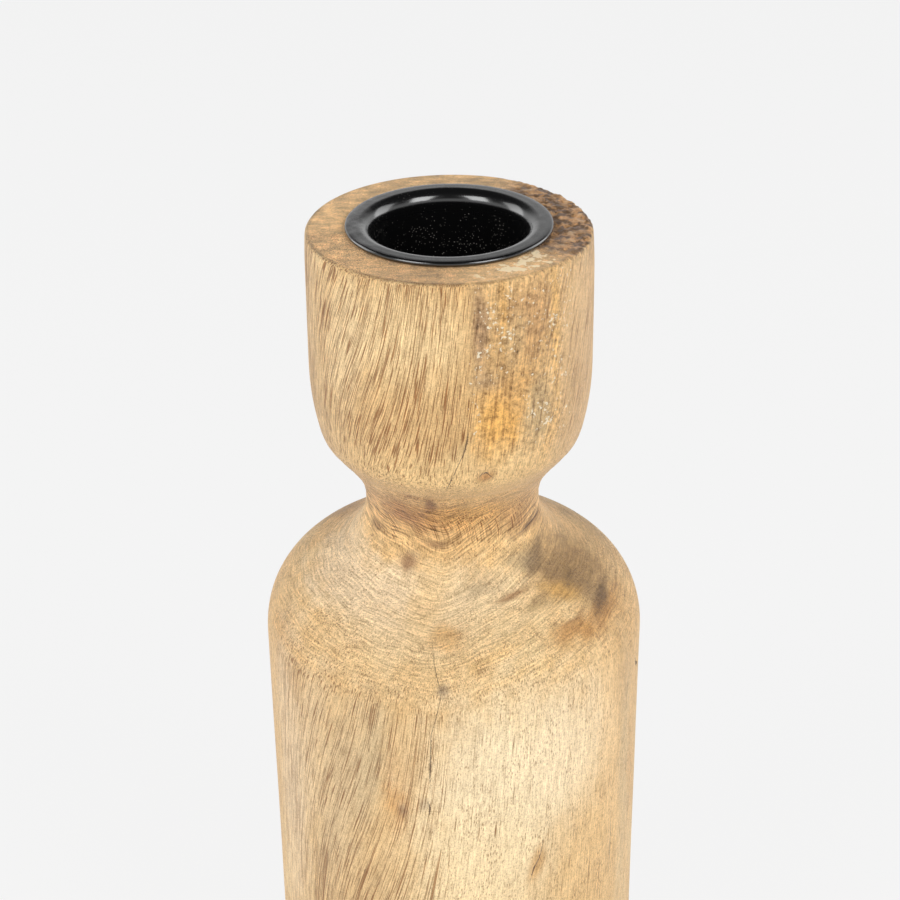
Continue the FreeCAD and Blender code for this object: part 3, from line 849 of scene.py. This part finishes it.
# A thin disc with softly rounded edges, whose surface is roughened by noise. It stays flat on the
# table and against the wood.
def makeFeltMesh():
    low, high = (np.array(corner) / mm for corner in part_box("felt_pad"))
    radius, bottom, top, edge = high[0], low[2], high[2], felt["edge"]
    outline = np.concatenate([
        lineThrough([(0, bottom), (radius - edge, bottom)]),
        arcAbout((radius - edge, bottom + edge), edge, -90, 0),
        arcAbout((radius - edge, top - edge), edge, 0, 90),
        lineThrough([(radius - edge, top), (0, top)]),
    ])
    half = radius + 0.6         # halfway along the outline, on the edge
    steps = [
        (0, 1.2), (half - 3, 0.5), (half - 1, 0.12), (half, 0.12), (half + 1, 0.8), (2 * half, 3),
    ]
    rings, _ = spaced(outline, steps)
    radii, angle, height = revolve(rings, felt["segments"])
    points = toPoints(radii, angle, height)
    nap = felt["nap"] * layeredNoise(points, 0.9, 61)
    side = smooth(radii, radius - 0.8, radius - 0.2)
    radii = radii - (felt["nap"] - nap) * side
    height = height + np.abs(nap) * (1 - side) * (height < bottom + 0.2)
    return gridObject("feltDisc", toPoints(radii, angle, height))


# Dark felt, mottled by hairs and tufts.
def makeFeltMaterial():
    shader = Shader("darkFelt")
    place = shader.objectPlace()
    hair = shader.noise(place, 2600.0, 3.0, 0.7)
    tuft = shader.noise(place, 500.0, 2.0, 0.6)
    colour = shader.mix(hair.ramp(0.35, 0.75), (0.012, 0.011, 0.01, 1), (0.055, 0.05, 0.045, 1))
    colour = shader.mix(tuft.ramp(0.45, 0.75, 0.0, 0.4), colour, (0.03, 0.027, 0.024, 1))
    normal = shader.bump(hair * 0.7 + tuft * 0.5, 0.8, 0.00025)
    inputs = {"Base_Color": colour, "Roughness": 0.85 + hair * 0.12, "Normal": normal}
    return shader.finish(**inputs, Sheen_Weight=0.4, Sheen_Roughness=0.5, Specular_IOR_Level=0.2)


feltDisc = makeFeltMesh()
feltDisc.data.materials.append(makeFeltMaterial())
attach(feltDisc, "stick")
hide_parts("felt_pad")
print("felt:", len(feltDisc.data.polygons), "faces")


# floor, light and camera

studio = {
    "paper": 0.913,         # brightness of the paper where nothing shades it
    "paperShade": 0.06,     # how much of that comes from the lamps, so how deep a shadow can be
    "horizon": 0.85,        # light from the pale walls
    "ceiling": 0.03,
    "floorSide": 8.0,       # metres from the middle of the floor to its edge
    "lampAway": 0.9,        # metres from the candlestick to each lamp
    "lampTarget": 0.09,     # height that the lamps face
    "camera": (0.30862, 0.1278),    # metres in front of the axis and above the wood's top
    "cameraDown": 28.05,    # degrees that it looks down
    "cameraRoll": -0.69,
    "lens": 92.0,
    "shift": -0.00195,
}

# Rectangular lamps: name, angle from the front, elevation, size in metres, power in watts.
lamps = [
    ("keyBox", 44, 40, (0.4, 0.5), 3.6),
    ("fillBox", -46, 40, (0.4, 0.5), 3.4),
    ("leftBox", -112, 24, (0.5, 0.6), 2.0),
    ("rightBox", 112, 24, (0.5, 0.6), 2.0),
]


# A flat sheet of white paper. Most of its brightness is its own glow, so shadows on it stay light.
def makeFloor():
    side = studio["floorSide"]
    mesh = bpy.data.meshes.new("paperFloor")
    corners = [(-side, -side, 0), (side, -side, 0), (side, side, 0), (-side, side, 0)]
    mesh.from_pydata(corners, [], [(0, 1, 2, 3)])
    floor = bpy.data.objects.new("paperFloor", mesh)
    bpy.context.scene.collection.objects.link(floor)
    shader = Shader("whitePaper")
    shade = studio["paperShade"]
    glow = (studio["paper"] - shade * 0.9,) * 3 + (1,)
    base = (shade, shade, shade, 1)
    inputs = {"Base_Color": base, "Emission_Color": glow, "Emission_Strength": 1.0}
    mesh.materials.append(shader.finish(**inputs, Roughness=1.0, Specular_IOR_Level=0.0))


# Soft light from pale walls under a dark ceiling, and a backdrop as pale as the paper for the
# camera.
def makeSurround():
    world = bpy.data.worlds.new("whiteRoom")
    bpy.context.scene.world = world
    world.use_nodes = True
    tree = world.node_tree
    tree.nodes.clear()

    def node(kind, **settings):
        made = tree.nodes.new(kind)
        for name, value in settings.items():
            made.inputs[name].default_value = value
        return made

    place = node("ShaderNodeTexCoord")
    split = node("ShaderNodeSeparateXYZ")
    fade = {"From Min": 0.3, "From Max": 0.55}
    fade.update({"To Min": studio["horizon"], "To Max": studio["ceiling"]})
    level = node("ShaderNodeMapRange", **fade)
    room = node("ShaderNodeBackground")
    backdrop = node("ShaderNodeBackground", Strength=studio["paper"], Color=(1, 1, 1, 1))
    path = node("ShaderNodeLightPath")
    mixed = node("ShaderNodeMixShader")
    output = node("ShaderNodeOutputWorld")
    room.inputs["Color"].default_value = (1, 1, 1, 1)
    tree.links.new(place.outputs["Generated"], split.inputs[0])
    tree.links.new(split.outputs["Z"], level.inputs["Value"])
    tree.links.new(level.outputs["Result"], room.inputs["Strength"])
    tree.links.new(path.outputs["Is Camera Ray"], mixed.inputs[0])
    tree.links.new(room.outputs[0], mixed.inputs[1])
    tree.links.new(backdrop.outputs[0], mixed.inputs[2])
    tree.links.new(mixed.outputs[0], output.inputs["Surface"])


# A rectangular lamp that faces the candlestick, at an angle from the front and an elevation.
def makeSoftbox(name, angle, elevation, size, power):
    turn, rise = math.radians(angle), math.radians(elevation)
    target = Vector((0, 0, studio["lampTarget"]))
    away = Vector((math.sin(turn) * math.cos(rise), -math.cos(turn) * math.cos(rise), math.sin(rise)))
    lamp = bpy.data.lights.new(name, "AREA")
    lamp.shape = "RECTANGLE"
    lamp.size, lamp.size_y = size
    lamp.energy = power
    box = bpy.data.objects.new(name, lamp)
    box.location = target + away * studio["lampAway"]
    box.rotation_euler = away.to_track_quat("Z", "Y").to_euler()
    bpy.context.scene.collection.objects.link(box)


# Looks down from the front, with the foot below the picture.
def makeCamera():
    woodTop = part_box("turned_body")[1][2]
    data = bpy.data.cameras.new("camera")
    data.sensor_width = 36
    data.lens = studio["lens"]
    data.shift_x = studio["shift"]
    data.clip_start = 0.01
    data.clip_end = 20
    camera = bpy.data.objects.new("camera", data)
    inFront, above = studio["camera"]
    camera.location = (0, -inFront, woodTop + above)
    tilt, roll = math.radians(90 - studio["cameraDown"]), math.radians(studio["cameraRoll"])
    turned = Matrix.Rotation(tilt, 3, "X") @ Matrix.Rotation(roll, 3, "Z")
    camera.rotation_euler = turned.to_euler()
    bpy.context.scene.collection.objects.link(camera)
    bpy.context.scene.camera = camera


makeFloor()
makeSurround()
for lamp in lamps:
    makeSoftbox(*lamp)
makeCamera()
bpy.context.scene.view_settings.view_transform = "Standard"
print("studio: floor, surround,", len(lamps), "softboxes and camera")
